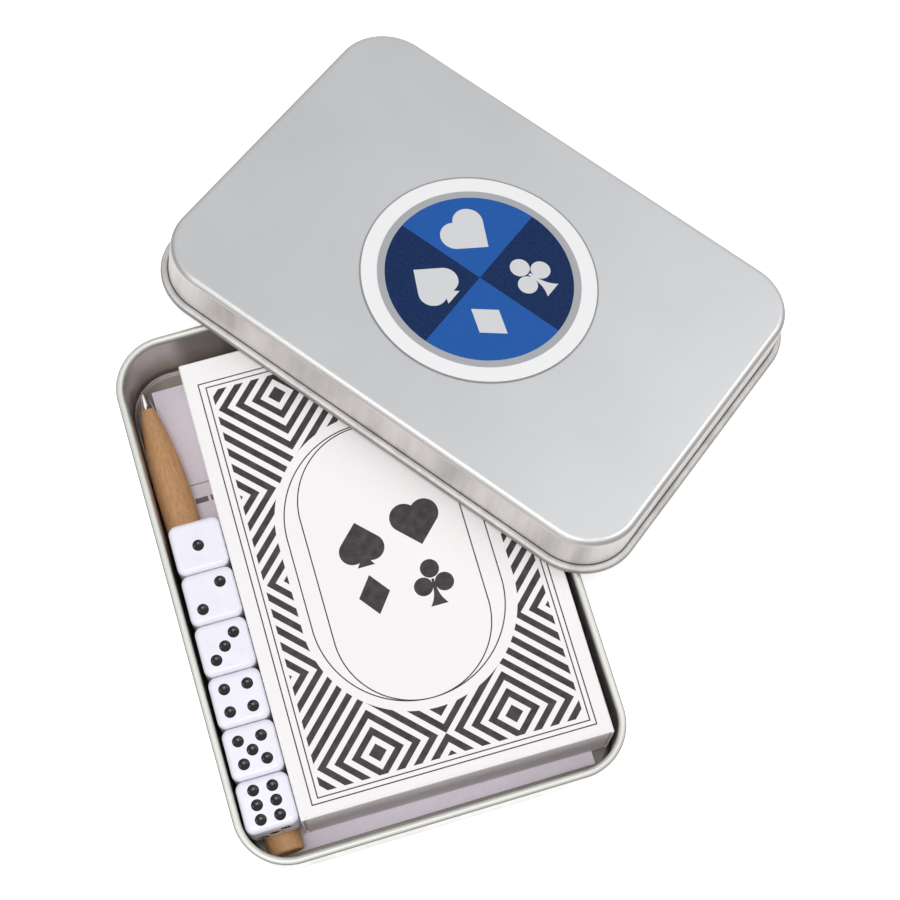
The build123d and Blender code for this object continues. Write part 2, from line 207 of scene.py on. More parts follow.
class DiceSettings(bpy.types.PropertyGroup):
    size: length("Size", "Edge length of a die", 9.9)
    edge: length("Edge", "Rounding of a die's edges", 1.05)
    upright: length("Upright edge", "Rounding of a die's upright edges", 1.6)
    spot: length("Spot", "Radius of a spot", 1.1)
    spot_depth: length("Spot depth", "Depth of a spot", 0.42)
    step: length("Step", "Distance of the outer spots from the middle", 2.18)
    step_six: length("Step of the six", "Distance of the six's outer spots", 2.75)
    column_six: length("Column of the six", "Distance of the six's columns", 1.8)
    white: colour("White", "Plastic of the dice", (0.83, 0.82, 0.91))
    black: colour("Black", "Paint in the spots", (0.008, 0.008, 0.009))


class PenSettings(bpy.types.PropertyGroup):
    kraft: colour("Kraft", "Brown paper barrel", (0.65, 0.365, 0.172))
    metal: colour("Metal", "Plated cone", (0.90, 0.89, 0.87))
    plug: colour("Plug", "Plug in the rear end", (0.50, 0.31, 0.15))
    refill: colour("Refill", "Tube of the refill", (0.03, 0.03, 0.05))
    brass: colour("Brass", "Writing point", (0.62, 0.50, 0.26))


class StageSettings(bpy.types.PropertyGroup):
    top: power("Top", "Power of the lamp above", 4.8)
    side: power("Side", "Power of the lamp on the right", 2.4)
    near: power("Near", "Power of the lamp in front on the left", 1.5)
    left: power("Left", "Power of the lamp on the left", 1.6)
    sky: amount("Sky", "Strength of the even light", 0.38)
    glow: amount("Glow", "Glow of the floor as the camera sees it", 0.5)
    mirrored_glow: amount("Mirrored glow", "Glow of the floor in metal", 0.2)


# Geometry

QUARTER = radians(90)
SHARP = radians(30)  # edges that fold more than this stay sharp
DISH_RINGS = 6  # rings from the edge of a spot to its middle
SPOT_SIDES = 24
PAINTED = 1  # material index of the spots


def add_point(bm, last, move):
    """Draws a straight line from a point of a section and gives its end."""
    grown = bmesh.ops.extrude_vert_indiv(bm, verts=[last])["verts"]
    bmesh.ops.translate(bm, verts=grown, vec=move)
    return grown[0]


def add_arc(bm, last, centre, turn, steps):
    """Spins a point of an upright section round a centre and gives the arc's end."""
    made = bmesh.ops.spin(bm, geom=[last], cent=centre, axis=(0, -1, 0), angle=turn, steps=steps)
    return next(v for v in made["geom_last"] if isinstance(v, bmesh.types.BMVert))


def add_roll(bm, last, centre, turn, sheet, steps):
    """Rolls the sheet's edge round a centre and comes back on its other face, sheet nearer the centre."""
    last = add_arc(bm, last, centre, turn, steps)
    last = add_point(bm, last, (centre - last.co).normalized() * sheet)
    return add_arc(bm, last, centre, -turn, steps)


def far_side(grown):
    """Points that an extrusion added, and the edges between them."""
    points = [v for v in grown if isinstance(v, bmesh.types.BMVert)]
    ends = set(points)
    return points, [e for e in grown if isinstance(e, bmesh.types.BMEdge) and set(e.verts) <= ends]


def carry_round(bm, half, radius, steps):
    """Carries the section round a rounded rectangle: four straight sides and four spun corners."""
    edges = bm.edges[:]
    heading = Vector((0, 1, 0))
    corner = Vector((half[0], radius - half[1], 0))
    for side in (2 * half[1], 2 * half[0]) * 2:
        move = heading * (side - 2 * radius)
        grown = bmesh.ops.extrude_edge_only(bm, edges=edges)["geom"]
        points, edges = far_side(grown)
        bmesh.ops.translate(bm, verts=points, vec=move)
        corner += move
        inwards = Vector((-heading.y, heading.x, 0))
        made = bmesh.ops.spin(
            bm, geom=edges, cent=corner + inwards * radius, axis=(0, 0, 1), angle=QUARTER, steps=steps
        )
        _, edges = far_side(made["geom_last"])
        corner += (inwards + heading) * radius
        heading = inwards
    bmesh.ops.remove_doubles(bm, verts=bm.verts[:], dist=MM / 1000)
    rims = [e for e in bm.edges if e.is_boundary]
    bmesh.ops.holes_fill(bm, edges=rims, sides=0)
    bmesh.ops.recalc_face_normals(bm, faces=bm.faces[:])


def make_object(bm, name, materials):
    """Turns a bmesh into an object that is smooth except over sharp edges and on its large faces."""
    for face in bm.faces:
        face.smooth = True
    for edge in bm.edges:
        edge.smooth = edge.calc_face_angle(0.0) < SHARP
    mesh = bpy.data.meshes.new(name)
    bm.to_mesh(mesh)
    bm.free()
    for material in materials:
        mesh.materials.append(material)
    obj = bpy.data.objects.new(name, mesh)
    bpy.context.scene.collection.objects.link(obj)
    obj.modifiers.new("flat_faces", "WEIGHTED_NORMAL").keep_sharp = True
    return obj


def put_in_place(obj, body, slot, *nodes):
    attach(obj, body)
    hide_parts(*nodes)


def dress(node, material):
    """Gives a CAD node its material."""
    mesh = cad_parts[node].data
    mesh.materials.clear()
    mesh.materials.append(material)


def middle_of(node):
    low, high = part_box(node)
    return (low + high) / 2


# Materials

class Nodes:
    """Short ways to add nodes to a tree and to join them."""

    def __init__(self, tree):
        self.tree = tree

    def first(self, kind):
        return next(node for node in self.tree.nodes if node.type == kind)

    def put(self, value, socket):
        if isinstance(value, bpy.types.NodeSocket):
            self.tree.links.new(value, socket)
        else:
            socket.default_value = value

    def node(self, kind, **settings):
        made = self.tree.nodes.new("ShaderNode" + kind)
        for key, value in settings.items():
            setattr(made, key, value)
        return made

    def math(self, operation, first, second=0.0, third=0.0):
        made = self.node("Math", operation=operation)
        for value, socket in zip((first, second, third), made.inputs):
            self.put(value, socket)
        return made.outputs[0]

    def add(self, first, second):
        return self.math("ADD", first, second)

    def minus(self, first, second):
        return self.math("SUBTRACT", first, second)

    def times(self, first, second):
        return self.math("MULTIPLY", first, second)

    def less(self, first, second):
        return self.math("LESS_THAN", first, second)

    def both(self, first, second):
        return self.math("MINIMUM", first, second)

    def either(self, first, second):
        return self.math("MAXIMUM", first, second)

    def off(self, value, centre):
        """Distance of a value from a centre."""
        return self.math("ABSOLUTE", self.minus(value, centre))

    def reach(self, x, y):
        """Length of (x, y)."""
        return self.math("SQRT", self.add(self.times(x, x), self.times(y, y)))

    def place(self, centre=(0, 0, 0), turn=(0, 0, 0)):
        """Coordinates in millimetres from a centre, turned with the piece."""
        source = self.node("TexCoord")
        mapping = self.node("Mapping", vector_type="TEXTURE")
        self.put(source.outputs["Object"], mapping.inputs["Vector"])
        mapping.inputs["Location"].default_value = centre
        mapping.inputs["Rotation"].default_value = turn
        mapping.inputs["Scale"].default_value = (MM, MM, MM)
        return mapping.outputs["Vector"]

    def parts(self, vector):
        split = self.node("SeparateXYZ")
        self.put(vector, split.inputs[0])
        return split.outputs[0], split.outputs[1], split.outputs[2]

    def stretch(self, vector, scale):
        mapping = self.node("Mapping")
        self.put(vector, mapping.inputs["Vector"])
        mapping.inputs["Scale"].default_value = scale
        return mapping.outputs["Vector"]

    def noise(self, vector, scale, detail=2.0, roughness=0.5):
        """Cloudy values round a half, with about as many grains per millimetre as the scale says."""
        made = self.node("TexNoise")
        self.put(vector, made.inputs["Vector"])
        made.inputs["Scale"].default_value = scale
        made.inputs["Detail"].default_value = detail
        made.inputs["Roughness"].default_value = roughness
        return made.outputs["Fac"]

    def spread(self, value, low, high, to_low=0.0, to_high=1.0):
        """Maps low to high onto another range, and keeps to its ends beyond."""
        made = self.node("MapRange")
        for entry, socket in zip((value, low, high, to_low, to_high), made.inputs):
            self.put(entry, socket)
        return made.outputs[0]

    def blend(self, share, first, second):
        """Number between two numbers."""
        return self.spread(share, 0.0, 1.0, first, second)

    def vary(self, noise, low=0.0, high=1.0):
        """Spreads the usual values of a noise over a range."""
        return self.spread(noise, 0.3, 0.7, low, high)

    def mix(self, share, first, second):
        """Colour between two colours."""
        made = self.node("Mix", data_type="RGBA")
        colours = [socket for socket in made.inputs if socket.type == "RGBA"]
        self.put(share, made.inputs[0])
        for value, socket in zip((first, second), colours):
            self.put(value if isinstance(value, bpy.types.NodeSocket) else (*value, 1.0), socket)
        return next(socket for socket in made.outputs if socket.type == "RGBA")

    def mottle(self, noise, value, dark, bright):
        """A colour that a noise makes darker and brighter by factors."""
        return self.mix(noise, shade(value, dark), shade(value, bright))

    def rays(self):
        """Shares of the light path: seen straight or through glass, and seen mirrored."""
        path = self.node("LightPath").outputs
        return self.either(path["Is Camera Ray"], path["Is Transmission Ray"]), path["Is Glossy Ray"]


class Finish(Nodes):
    """A new material with the main sockets of its shader."""

    def __init__(self, name, roughness=0.5, metallic=0.0):
        self.material = bpy.data.materials.new(name)
        self.material.use_nodes = True
        super().__init__(self.material.node_tree)
        self.shader = self.first("BSDF_PRINCIPLED")
        self.dull(roughness)
        self.metal(metallic)

    def tint(self, value):
        self.put(value, self.shader.inputs["Base Color"])

    def dull(self, value):
        self.put(value, self.shader.inputs["Roughness"])

    def metal(self, value):
        self.put(value, self.shader.inputs["Metallic"])

    def gloss(self, value):
        self.put(value, self.shader.inputs["Specular IOR Level"])

    def relief(self, height, distance):
        bump = self.node("Bump")
        bump.inputs["Strength"].default_value = 1.0
        bump.inputs["Distance"].default_value = distance
        self.put(height, bump.inputs["Height"])
        self.put(bump.outputs[0], self.shader.inputs["Normal"])


def shade(value, factor):
    return tuple(channel * factor for channel in value)


def tinplate(finish, where, face, side, streak, dull):
    """Satin tinplate of the given colour: fine grain, handling marks, streaks across its sides."""
    grain = finish.noise(finish.stretch(where, (1.0, 1.0, 0.15)), 2.0, 3.0, 0.6)
    marks = finish.noise(where, 0.045, 2.0)
    wear = finish.add(grain, marks)
    streaks = finish.noise(finish.stretch(where, (1.0, 1.0, 0.1)), 0.22, 3.0, 0.6)
    shadows = finish.times(finish.spread(streaks, 0.38, 0.62, streak, 0.0), side)
    worn = finish.spread(wear, 0.7, 1.3, 0.97, 1.025)
    shown = finish.times(worn, finish.minus(1.0, shadows))
    scaled = finish.node("VectorMath", operation="SCALE")
    finish.put(face, scaled.inputs[0])
    finish.put(shown, scaled.inputs["Scale"])
    finish.tint(scaled.outputs[0])
    finish.dull(finish.add(finish.spread(wear, 0.6, 1.4, -0.035, 0.035), dull))


def symbol_diamond(finish, x, y, size):
    return finish.less(finish.add(finish.times(x, 1.3), y), size)


def symbol_heart(finish, x, height, size):
    """Heart of a square on its tip and two discs on its upper sides; x is counted from its middle."""
    side = 0.5 * size
    square = finish.less(finish.add(x, finish.math("ABSOLUTE", height)), 2 * side)
    lobes = finish.reach(finish.minus(x, side), finish.minus(height, side))
    return finish.either(square, finish.less(lobes, side * sqrt(2)))


def symbol_stem(finish, x, height, size):
    """Flared foot below a spade or a club."""
    depth = finish.times(height, -1 / size)
    cubed = finish.math("POWER", finish.either(depth, 0.0), 3.0)
    flare = finish.math("MULTIPLY_ADD", cubed, 0.16 * size, 0.07 * size)
    tall = finish.both(finish.less(0.0, depth), finish.less(depth, 1.32))
    return finish.both(finish.less(x, flare), tall)


def symbol_spade(finish, x, height, size):
    leaf = symbol_heart(finish, x, finish.times(height, -1.0), 0.92 * size)
    return finish.either(leaf, symbol_stem(finish, x, height, size))


def symbol_club(finish, x, height, size):
    leaf = 0.46 * size
    top = finish.less(finish.reach(x, finish.minus(height, 0.52 * size)), leaf)
    side = finish.reach(finish.minus(x, 0.52 * size), finish.add(height, 0.28 * size))
    return finish.either(finish.either(top, finish.less(side, leaf)), symbol_stem(finish, x, height, size))


def four_suits(finish, x, y, centre, step, size):
    """Spade and heart above, diamond and club below, round a centre."""
    ink = None
    for kind, column, row in (
        (symbol_spade, -1, 1), (symbol_heart, 1, 1), (symbol_diamond, -1, -1), (symbol_club, 1, -1)
    ):
        aside = finish.off(x, centre[0] + column * step[0])
        height = finish.minus(y, centre[1] + row * step[1])
        if kind is symbol_diamond:
            height = finish.math("ABSOLUTE", height)
        mark = kind(finish, aside, height, size)
        ink = mark if ink is None else finish.either(ink, mark)
    return ink


def rectangle(finish, x, y, centre, half):
    """Distance outside a rectangle, negative inside."""
    return finish.either(
        finish.minus(finish.off(x, centre[0]), half[0]),
        finish.minus(finish.off(y, centre[1]), half[1]),
    )


def rounded(finish, x, y, centre, half, radius):
    """Distance outside a rectangle with rounded corners, negative inside."""
    beyond = rectangle(finish, x, y, centre, half)
    aside, up = (
        finish.either(finish.minus(finish.off(value, middle), side - radius), 0.0)
        for value, middle, side in zip((x, y), centre, half)
    )
    return finish.either(beyond, finish.minus(finish.reach(aside, up), radius))


def thin_line(finish, distance, width):
    return finish.less(finish.math("ABSOLUTE", distance), width / 2)


def wave(finish, value, centre, step):
    """Distance from the nearest of the places a step apart, with one of them at the centre."""
    return finish.math("PINGPONG", finish.minus(value, centre), step / 2)


class OBJECT_OT_card_box_tray(bpy.types.Operator):
    """Rolls the tray of the tin"""

    bl_idname = "card_box.tray"
    bl_label = "Tray"

    def execute(self, context):
        tin = context.scene.card_box_tin
        low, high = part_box("tin_base")
        reach = 2 * tin.tray_curl - tin.sheet
        wall_x = (high.x - low.x) / 2 - reach
        wall_y = (high.y - low.y) / 2 - reach
        rim = high.z - tin.tray_curl
        foot = tin.tray_foot + tin.sheet
        bm = bmesh.new()
        start_y = tin.tray_corner - wall_y
        last = bm.verts.new((wall_x - foot, start_y, tin.sheet))
        bend = Vector((wall_x - foot, start_y, foot))
        last = add_arc(bm, last, bend, QUARTER, tin.foot_steps)
        last = add_point(bm, last, (0, 0, rim - foot))
        curl = Vector((wall_x + tin.tray_curl - tin.sheet, start_y, rim))
        last = add_roll(bm, last, curl, -tin.tray_roll, tin.sheet, tin.curl_steps)
        last = add_point(bm, last, (0, 0, foot - rim))
        add_arc(bm, last, bend, -QUARTER, tin.foot_steps)
        carry_round(bm, (wall_x, wall_y), tin.tray_corner, tin.corner_steps)
        finish = Finish("tinplate_tray", metallic=1.0)
        where = finish.place()
        x, y, z = finish.parts(where)
        half_sheet = tin.sheet / 2 / MM
        half = (wall_x / MM - half_sheet, wall_y / MM - half_sheet)
        beyond = rounded(finish, x, y, (0, 0), half, tin.tray_corner / MM - half_sheet)
        outside = finish.either(finish.less(0.0, beyond), finish.less(z, half_sheet))
        # Painted shade on the floor: up to this height the tray takes the near black floor colour
        floor = finish.less(z, FLOOR_HEIGHT * tin.sheet / MM)
        face = finish.mix(floor, tin.tray_inside, tin.tray_floor)
        # Painted light on the outer walls and painted shade on the rim: lit and shaded copies of one
        # tinplate
        face = finish.mix(outside, face, tin.tray_outside)
        rolled = finish.less((rim - tin.tray_curl) / MM, z)
        face = finish.mix(rolled, face, tin.tray_rim)
        # Painted shade: a dark line along the outside of the rolled rim
        lip = finish.both(rolled, finish.less((reach - tin.lip) / MM + half_sheet, beyond))
        face = finish.mix(finish.times(lip, LIP_PAINTED_SHADE), face, shade(tin.tray_rim, DARK_LINE))
        dull = finish.blend(finish.either(outside, floor), TRAY_DULL, TRAY_DULL_OUTSIDE)
        dull = finish.either(dull, finish.times(rolled, TRAY_DULL_RIM))
        tinplate(finish, where, face, finish.less(z, rim / MM), tin.tray_streak, dull)
        put_in_place(make_object(bm, "tray", [finish.material]), "tray", "tinplate_tray", "tin_base")
        return {"FINISHED"}


def box_along(axes, node):
    """Lowest and highest corners of a CAD node along the given axes."""
    spots = [axes.transposed() @ v.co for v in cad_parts[node].data.vertices]
    low = Vector([min(p[k] for p in spots) for k in range(3)])
    high = Vector([max(p[k] for p in spots) for k in range(3)])
    return low, high


def lid_frame():
    """The lid's own axes, the middle of its lower side, and its size: z points out of its top."""
    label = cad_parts["lid_label"].data
    top = sorted(label.polygons, key=lambda face: -face.area)[0].normal
    up = -top if top.z < 0 else top.copy()
    lean = hypot(up.x, up.y)
    turn = atan2(up.y, up.x)
    aside = Vector((up.z * cos(turn), up.z * sin(turn), -lean))
    along = up.cross(aside)
    axes = Matrix((aside, along, up)).transposed()
    low, high = box_along(axes, "tin_lid")
    centre = axes @ Vector(((low.x + high.x) / 2, (low.y + high.y) / 2, low.z))
    return axes, centre, high - low


class OBJECT_OT_card_box_lid(bpy.types.Operator):
    """Rolls the lid of the tin"""

    bl_idname = "card_box.lid"
    bl_label = "Lid"

    def execute(self, context):
        tin = context.scene.card_box_tin
        axes, centre, size = lid_frame()
        reach = 2 * tin.lid_curl - tin.sheet + tin.inset
        wall_x = size.x / 2 - reach
        wall_y = size.y / 2 - reach
        top = size.z
        bm = bmesh.new()
        start_y = tin.lid_corner - wall_y
        edge = Vector((wall_x - tin.lid_edge, start_y, top - tin.lid_edge))
        last = bm.verts.new((edge.x, start_y, top))
        last = add_arc(bm, last, edge, -QUARTER, tin.edge_steps)
        last = add_point(bm, last, (0, 0, tin.lid_curl - edge.z))
        curl = Vector((wall_x + tin.lid_curl - tin.sheet, start_y, tin.lid_curl))
        last = add_roll(bm, last, curl, tin.lid_roll, -tin.sheet, tin.curl_steps)
        last = add_point(bm, last, (0, 0, edge.z - tin.lid_curl))
        add_arc(bm, last, edge, QUARTER, tin.edge_steps)
        carry_round(bm, (wall_x, wall_y), tin.lid_corner, tin.corner_steps)
        bm.transform(Matrix.Translation(centre) @ axes.to_4x4())
        finish = Finish("tinplate_lid", metallic=1.0)
        where = finish.place(centre, axes.to_euler())
        x, y, height = finish.parts(where)
        side = finish.less(height, edge.z / MM)
        rise = finish.spread(height, edge.z / MM, top / MM)
        # Lit and shaded copies of one tinplate: painted light on the skirt and up the bend, the top's own
        # colour above it, painted shade on the rim
        face = finish.mix(finish.spread(rise, 0.0, SIDE_END), tin.lid_side, tin.lid_top)
        # Painted shade: the band darkens the bend below its top, so that the highlight along the lid's edge
        # stays thin
        band = finish.both(finish.spread(rise, *BAND_START), finish.spread(rise, *BAND_END, 1.0, 0.0))
        face = finish.mix(band, face, shade(tin.lid_side, BAND_SHADE))
        rolled = finish.less(height, 2 * tin.lid_curl / MM)
        face = finish.mix(rolled, face, tin.lid_rim)
        beyond = rounded(finish, x, y, (0, 0), (wall_x / MM, wall_y / MM), tin.lid_corner / MM)
        # Painted shade: a dark line in the crease between the skirt and the rolled rim, and one along the
        # rim's outside
        groove = finish.both(rolled, finish.less(finish.off(beyond, GROOVE[0]), GROOVE[1]))
        lip = finish.both(rolled, finish.less((reach - tin.inset - tin.lip) / MM, beyond))
        dark = finish.either(finish.times(groove, GROOVE_PAINTED_SHADE), finish.times(lip, LIP_PAINTED_SHADE))
        face = finish.mix(dark, face, shade(tin.lid_rim, DARK_LINE))
        dull = finish.blend(side, LID_DULL, LID_DULL_SIDE)
        dull = finish.either(dull, finish.times(rolled, LID_DULL_RIM))
        finish.metal(finish.blend(side, 1.0, tin.lid_metal))
        tinplate(finish, where, face, side, tin.lid_streak, dull)
        put_in_place(make_object(bm, "lid", [finish.material]), "lid", "tinplate_lid", "tin_lid")
        return {"FINISHED"}


class OBJECT_OT_card_box_label(bpy.types.Operator):
    """Prints the round label on the lid"""

    bl_idname = "card_box.label"
    bl_label = "Label"

    def execute(self, context):
        label = context.scene.card_box_label
        axes, _, _ = lid_frame()
        low, high = box_along(axes, "lid_label")
        radius = (high.x - low.x) / 2 / MM
        finish = Finish("printed_label")
        finish.gloss(0.12)
        where = finish.place(middle_of("lid_label"), axes.to_euler())
        x, y, _ = finish.parts(where)
        away = finish.reach(x, y)
        field = radius - (label.border + label.ring) / MM
        quarters = finish.less(finish.times(x, y), 0.0)
        face = finish.mix(quarters, label.blue, label.navy)
        marks = four_suits(finish, x, y, *LABEL_SUITS, label.symbol / MM)
        face = finish.mix(marks, face, label.symbols)
        face = finish.mix(finish.less(field, away), face, label.grey)
        face = finish.mix(finish.less(radius - label.border / MM, away), face, label.paper)
        # Painted shadow: a darker grey line at the label's edge
        face = finish.mix(finish.less(radius - label.outline / MM, away), face, shade(label.grey, 0.7))
        fibre = finish.noise(where, 1.6, 3.0)
        finish.tint(finish.mix(finish.vary(fibre, 0.0, 0.02), face, (0.5, 0.5, 0.5)))
        finish.dull(finish.vary(fibre, 0.38, 0.48))
        dress("lid_label", finish.material)
        return {"FINISHED"}


class OBJECT_OT_card_box_leaflet(bpy.types.Operator):
    """Colours the folded leaflet and its plain printed lines"""

    bl_idname = "card_box.leaflet"
    bl_label = "Leaflet"

    def execute(self, context):
        leaflet = context.scene.card_box_leaflet
        finish = Finish("leaflet_paper", roughness=0.8)
        where = finish.place()
        _, y, _ = finish.parts(where)
        fibre = finish.noise(where, 0.9, 4.0, 0.65)
        paper = finish.mottle(fibre, leaflet.paper, 0.93, 1.07)
        rule, first, second = (
            finish.less(finish.off(y, place), half) for place, half in (LEAFLET_RULE, *LEAFLET_ROWS)
        )
        bars = finish.less(0.42, finish.noise(finish.stretch(where, (1.0, 0.12, 1.0)), 1.35, 0.0))
        rows = finish.both(finish.either(first, second), bars)
        ink = finish.either(finish.times(rows, 0.85), finish.times(rule, 0.6))
        finish.tint(finish.mix(ink, paper, leaflet.ink))
        finish.relief(fibre, 0.01 * MM)
        dress("leaflet", finish.material)
        return {"FINISHED"}


class OBJECT_OT_card_box_carton(bpy.types.Operator):
    """Prints the carton: stripes round a white oval with the four suits"""

    bl_idname = "card_box.carton"
    bl_label = "Carton"

    def execute(self, context):
        carton = context.scene.card_box_carton
        centre = middle_of("carton_body")
        _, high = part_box("carton_body")
        top = (high.z - centre.z) / MM
        finish = Finish("printed_board")
        finish.gloss(0.16)
        where = finish.place(centre, (0, 0, carton.turn))
        x, y, z = finish.parts(where)
        line = carton.line / MM
        step = carton.stripe / MM
        bands = finish.add(wave(finish, x, *STRIPE_BENDS[0]), wave(finish, y, *STRIPE_BENDS[1]))
        stripes = finish.less(finish.math("FRACT", finish.math("DIVIDE", bands, step)), STRIPE_SHARE)
        field = finish.less(rectangle(finish, x, y, *STRIPED_FIELD), 0.0)
        oval = rounded(finish, x, y, *OVAL)
        ink = finish.both(stripes, finish.both(field, finish.less(0.0, oval)))
        outlines = [rectangle(finish, x, y, *sizes) for sizes in FRAME_LINES]
        outlines += [rounded(finish, x, y, *sizes) for sizes in OVAL_LINES]
        for distance in outlines:
            ink = finish.either(ink, thin_line(finish, distance, line))
        ink = finish.either(ink, four_suits(finish, x, y, *CARTON_SUITS, carton.symbol / MM))
        ink = finish.both(ink, finish.less(top - PRINT_DEPTH, z))
        fibre = finish.noise(where, 1.3, 4.0, 0.6)
        board = finish.mottle(fibre, carton.board, 0.975, 1.02)
        print_wear = finish.vary(finish.noise(where, 0.6, 3.0), 0.94, 0.98)
        finish.tint(finish.mix(finish.times(ink, print_wear), board, carton.ink))
        finish.dull(finish.vary(fibre, 0.46, 0.60))
        finish.relief(fibre, 0.01 * MM)
        dress("carton_body", finish.material)
        dress("carton_flap", finish.material)
        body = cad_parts["carton_body"]
        body.modifiers.new("joined_corners", "WELD").merge_threshold = 0.01 * MM
        worn = body.modifiers.new("worn_edges", "BEVEL")
        worn.width = carton.edge
        worn.segments = 3
        worn.limit_method = "ANGLE"
        return {"FINISHED"}


class OBJECT_OT_card_box_cards(bpy.types.Operator):
    """Gives the cards their coated white paper"""

    bl_idname = "card_box.cards"
    bl_label = "Cards"

    def execute(self, context):
        finish = Finish("card_paper")
        where = finish.place()
        fibre = finish.noise(where, 1.5, 3.0)
        finish.tint(finish.mix(fibre, *CARD_PAPER))
        finish.dull(finish.vary(fibre, 0.34, 0.46))
        for node in CARDS:
            dress(node, finish.material)
        return {"FINISHED"}


def height_of(edge):
    return abs(edge.verts[0].co.z - edge.verts[1].co.z)


class OBJECT_OT_card_box_dice(bpy.types.Operator):
    """Rounds six dice and dishes their spots"""

    bl_idname = "card_box.dice"
    bl_label = "Dice"

    def execute(self, context):
        dice = context.scene.card_box_dice
        turn = context.scene.card_box_carton.turn
        step, tall, wide = dice.step, dice.step_six, dice.column_six
        pair = [(step, step), (-step, -step)]
        four = pair + [(-step, step), (step, -step)]
        spots = {
            1: [(0, 0)], 2: pair, 3: pair + [(0, 0)], 4: four, 5: four + [(0, 0)],
            6: [(x, y) for x in (-wide, wide) for y in (-tall, 0, tall)],
        }
        plastic = Finish("dice_plastic")
        where = plastic.place(turn=(0, 0, turn))
        cloud = plastic.noise(where, 0.35, 2.0)
        plastic.tint(plastic.mottle(cloud, dice.white, 0.96, 1.03))
        plastic.dull(plastic.vary(cloud, 0.26, 0.36))
        paint = Finish("spot_paint")
        paint.gloss(0.3)
        where = paint.place(turn=(0, 0, turn))
        cloud = paint.noise(where, 2.5, 2.0)
        paint.tint(paint.mottle(cloud, dice.black, 0.7, 1.6))
        paint.dull(paint.vary(cloud, 0.10, 0.16))
        for number, node in enumerate(DICE, 1):
            near, right = DICE_SIDES[number]
            faces = [
                (number, (0, 0, 1), (1, 0, 0)), (7 - number, (0, 0, -1), (1, 0, 0)),
                (near, (0, -1, 0), (1, 0, 0)), (7 - near, (0, 1, 0), (1, 0, 0)),
                (right, (1, 0, 0), (0, 1, 0)), (7 - right, (-1, 0, 0), (0, 1, 0)),
            ]
            bm = bmesh.new()
            bmesh.ops.create_cube(bm, size=dice.size)
            self.round_edges(bm, [e for e in bm.edges if height_of(e) > dice.size / 2], dice.upright)
            self.round_edges(bm, [e for e in bm.edges if height_of(e) < dice.size / 2], dice.edge)
            for count, outwards, aside in faces:
                self.dish(bm, dice, spots[count], Vector(outwards), Vector(aside))
            bmesh.ops.recalc_face_normals(bm, faces=bm.faces[:])
            bm.transform(Matrix.Translation(middle_of(node)) @ Matrix.Rotation(turn, 4, "Z"))
            obj = make_object(bm, node + "_body", [plastic.material, paint.material])
            put_in_place(obj, node, "dice", node)
        return {"FINISHED"}

    def round_edges(self, bm, edges, radius):
        bmesh.ops.bevel(bm, geom=edges, offset=radius, affect="EDGES", segments=8, profile=0.5, material=-1)

    def dish(self, bm, dice, places, outwards, aside):
        """Opens one flat face of a die and sets a dished spot in each opening."""
        flat = max(bm.faces, key=lambda face: face.calc_center_median().dot(outwards) + face.calc_area())
        edges = list(flat.edges)
        bmesh.ops.delete(bm, geom=[flat], context="FACES_ONLY")
        axes = Matrix((aside, outwards.cross(aside), outwards)).transposed().to_4x4()
        rings = []
        for x, y in places:
            where = axes @ Matrix.Translation((x, y, dice.size / 2))
            made = bmesh.ops.create_circle(
                bm, cap_ends=False, segments=SPOT_SIDES, radius=dice.spot, matrix=where
            )
            ring = list(dict.fromkeys(edge for vert in made["verts"] for edge in vert.link_edges))
            rings.append((where.translation, ring))
            edges += ring
        bmesh.ops.triangle_fill(bm, use_beauty=True, edges=edges, normal=outwards)
        for centre, ring in rings:
            wide = dice.spot
            deep = 0.0
            for part in range(1, DISH_RINGS):
                lean = QUARTER * part / DISH_RINGS
                grown = bmesh.ops.extrude_edge_only(bm, edges=ring)["geom"]
                points, ring = far_side(grown)
                narrow = dice.spot * cos(lean)
                bmesh.ops.scale(
                    bm, verts=points, vec=(narrow / wide,) * 3, space=Matrix.Translation(-centre)
                )
                lower = dice.spot_depth * sin(lean)
                shrunk_drop = deep * narrow / wide
                bmesh.ops.translate(bm, verts=points, vec=-outwards * (lower - shrunk_drop))
                for face in grown:
                    if isinstance(face, bmesh.types.BMFace):
                        face.material_index = PAINTED
                wide, deep = narrow, lower
            for face in bmesh.ops.contextual_create(bm, geom=ring)["faces"]:
                face.material_index = PAINTED


